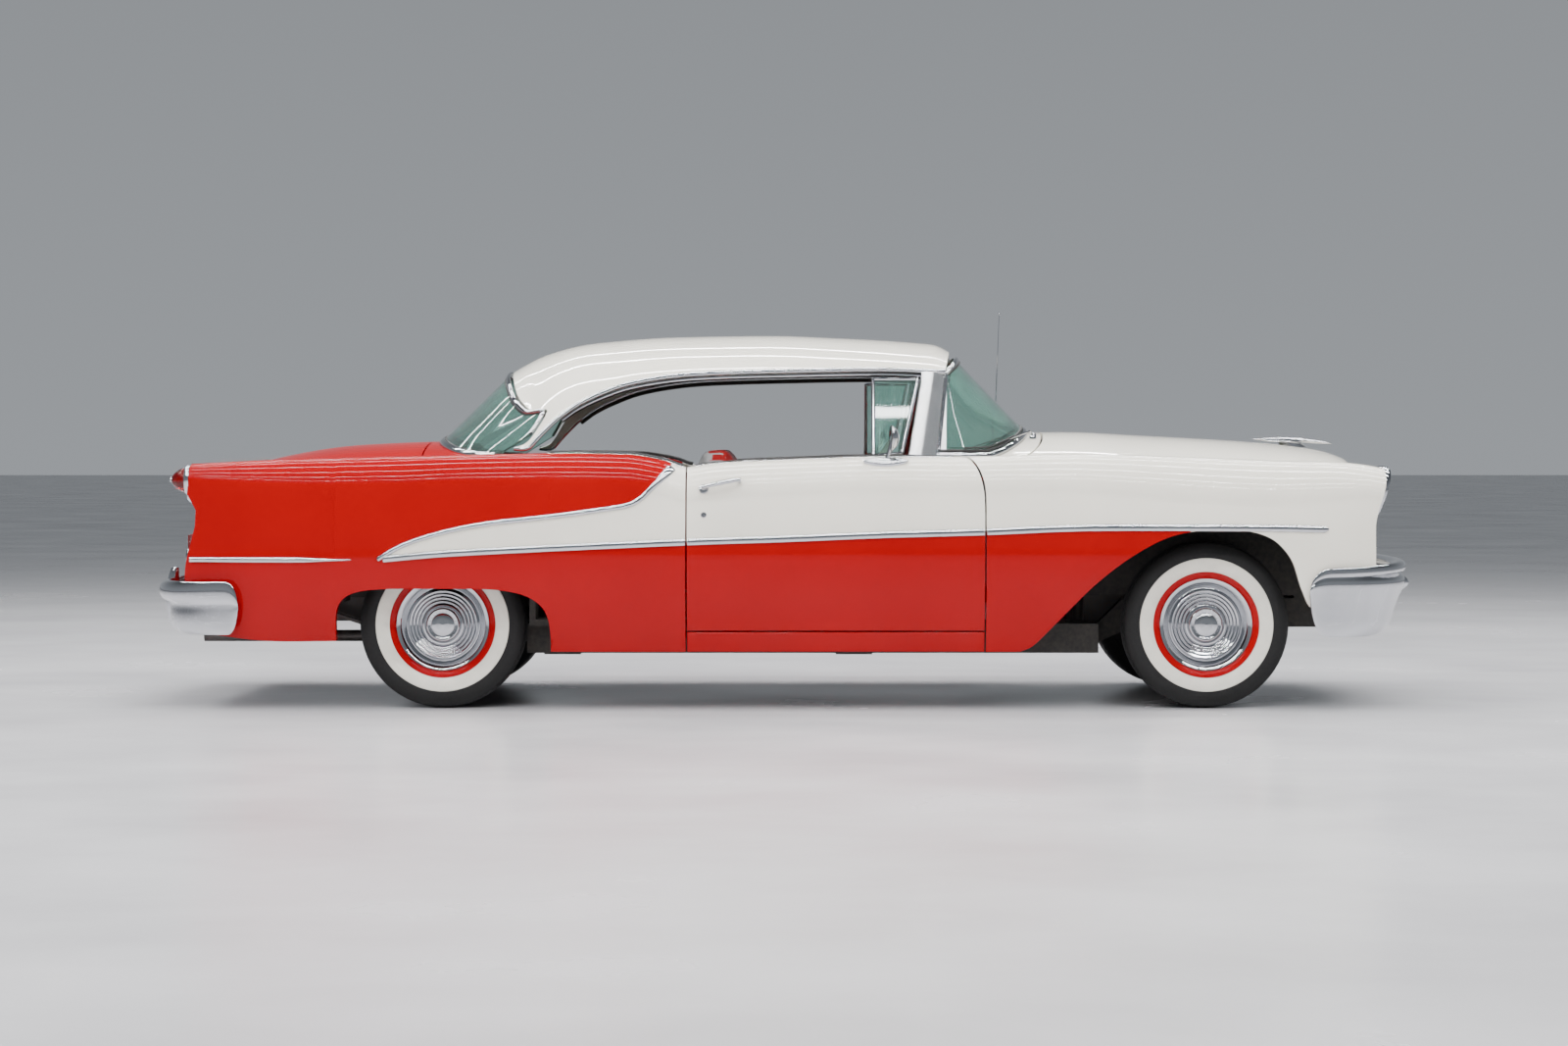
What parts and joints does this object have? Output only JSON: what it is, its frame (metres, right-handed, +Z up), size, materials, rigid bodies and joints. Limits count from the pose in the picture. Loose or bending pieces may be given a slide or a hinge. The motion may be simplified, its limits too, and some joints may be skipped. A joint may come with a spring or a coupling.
{
  "type": "two-door hardtop car, 1950s",
  "caption": "Full-size two-door hardtop car with two-tone paint, wraparound glass, opening doors, hood and trunk lid, steering and rolling wheels.",
  "frame": {"origin": "on the floor at the middle of the length and width", "axes": "+X forward, +Y to the car's left, +Z up"},
  "size_m": [5.166, 1.9722, 1.6521],
  "materials": {
    "underbody": "matte black",
    "ivory_paint": "gloss",
    "red_paint": "gloss",
    "tinted_glass": "clear, light green tint",
    "bright_chrome": "polished",
    "red_lens": "ribbed lens",
    "dark_steel": "satin",
    "upholstery": "woven with vinyl bolsters",
    "dash_plastic": "semi-gloss",
    "tyre_rubber": "black with white wall"
  },
  "bodies": {
    "car_body": {"frame": "underbody", "floor_pan": "underbody", "inner_fenders": "underbody", "radiator": "underbody", "cowl": "ivory_paint", "front_fender_right": "ivory_paint", "front_fender_left": "ivory_paint", "roof": "ivory_paint", "rocker_panels": "red_paint", "quarter_panel_right": "red_paint", "quarter_panel_left": "red_paint", "rear_deck": "red_paint", "tail_panel": "red_paint", "windshield": "tinted_glass", "rear_window": "tinted_glass", "grille": "bright_chrome", "front_bumper": "bright_chrome", "rear_bumper": "bright_chrome", "headlamps": "bright_chrome", "antenna": "bright_chrome", "tail_lamps": "red_lens", "engine": "dark_steel", "front_suspension": "dark_steel", "rear_axle": "dark_steel", "exhaust": "dark_steel", "fuel_tank": "dark_steel", "front_seat": "upholstery", "rear_seat": "upholstery", "dashboard": "dash_plastic"},
    "door_right_body": {"door_right": "ivory_paint"},
    "door_left_body": {"door_left": "ivory_paint"},
    "hood_body": {"hood": "ivory_paint"},
    "trunk_lid_body": {"trunk_lid": "red_paint"},
    "wheel_fr": {"tyre_front_right": "tyre_rubber", "wheel_front_right": "bright_chrome"},
    "wheel_fl": {"tyre_front_left": "tyre_rubber", "wheel_front_left": "bright_chrome"},
    "wheel_rr": {"tyre_rear_right": "tyre_rubber", "wheel_rear_right": "bright_chrome"},
    "wheel_rl": {"tyre_rear_left": "tyre_rubber", "wheel_rear_left": "bright_chrome"},
    "steer_right": {"knuckle_right": "dark_steel"},
    "steer_left": {"knuckle_left": "dark_steel"},
    "tie_rod": {"steering_link": "dark_steel"},
    "steering_wheel_body": {"steering_wheel": "dash_plastic"}
  },
  "joints": [
    {"name": "steer_right_turn", "type": "hinge", "parent": "car_body", "child": "steer_right", "pos_m": [1.713, -0.6595, 0.34], "axis": [0, 0, 1], "range_deg": [-32, 32]},
    {"name": "steer_left_turn", "type": "hinge", "parent": "car_body", "child": "steer_left", "pos_m": [1.713, 0.6595, 0.34], "axis": [0, 0, 1], "range_deg": [-32, 32]},
    {"name": "tie_rod_slide", "type": "slide", "parent": "car_body", "child": "tie_rod", "axis": [0, 1, 0], "range_m": [-0.07, 0.07]},
    {"name": "steering_wheel_turn", "type": "hinge", "parent": "car_body", "child": "steering_wheel_body", "pos_m": [0.383, 0.37, 0.95], "axis": [0.848, 0, -0.5299], "range_deg": [-520, 520]},
    {"name": "wheel_fr_spin", "type": "hinge", "parent": "steer_right", "child": "wheel_fr", "pos_m": [1.713, -0.7495, 0.34], "axis": [0, 1, 0], "continuous": true},
    {"name": "wheel_fl_spin", "type": "hinge", "parent": "steer_left", "child": "wheel_fl", "pos_m": [1.713, 0.7495, 0.34], "axis": [0, 1, 0], "continuous": true},
    {"name": "wheel_rr_spin", "type": "hinge", "parent": "car_body", "child": "wheel_rr", "pos_m": [-1.386, -0.7365, 0.34], "axis": [0, 1, 0], "continuous": true},
    {"name": "wheel_rl_spin", "type": "hinge", "parent": "car_body", "child": "wheel_rl", "pos_m": [-1.386, 0.7365, 0.34], "axis": [0, 1, 0], "continuous": true},
    {"name": "door_right_swing", "type": "hinge", "parent": "car_body", "child": "door_right_body", "pos_m": [0.808, -0.988, 0.67], "axis": [0, 0, 1], "range_deg": [0, 65]},
    {"name": "door_left_swing", "type": "hinge", "parent": "car_body", "child": "door_left_body", "pos_m": [0.808, 0.988, 0.67], "axis": [0, 0, -1], "range_deg": [0, 65]},
    {"name": "hood_lift", "type": "hinge", "parent": "car_body", "child": "hood_body", "pos_m": [0.98747, 0, 1.126], "axis": [0, -1, 0], "range_deg": [0, 50]},
    {"name": "trunk_lift", "type": "hinge", "parent": "car_body", "child": "trunk_lid_body", "pos_m": [-1.485, 0, 1.086], "axis": [0, 1, 0], "range_deg": [0, 70]}
  ],
  "couplings": [
    {"joint": "steer_left_turn", "follows": "steer_right_turn", "ratio": 1},
    {"joint": "tie_rod_slide", "follows": "steer_right_turn", "m_per_rad": -0.1175},
    {"joint": "steering_wheel_turn", "follows": "steer_right_turn", "ratio": -16}
  ]
}
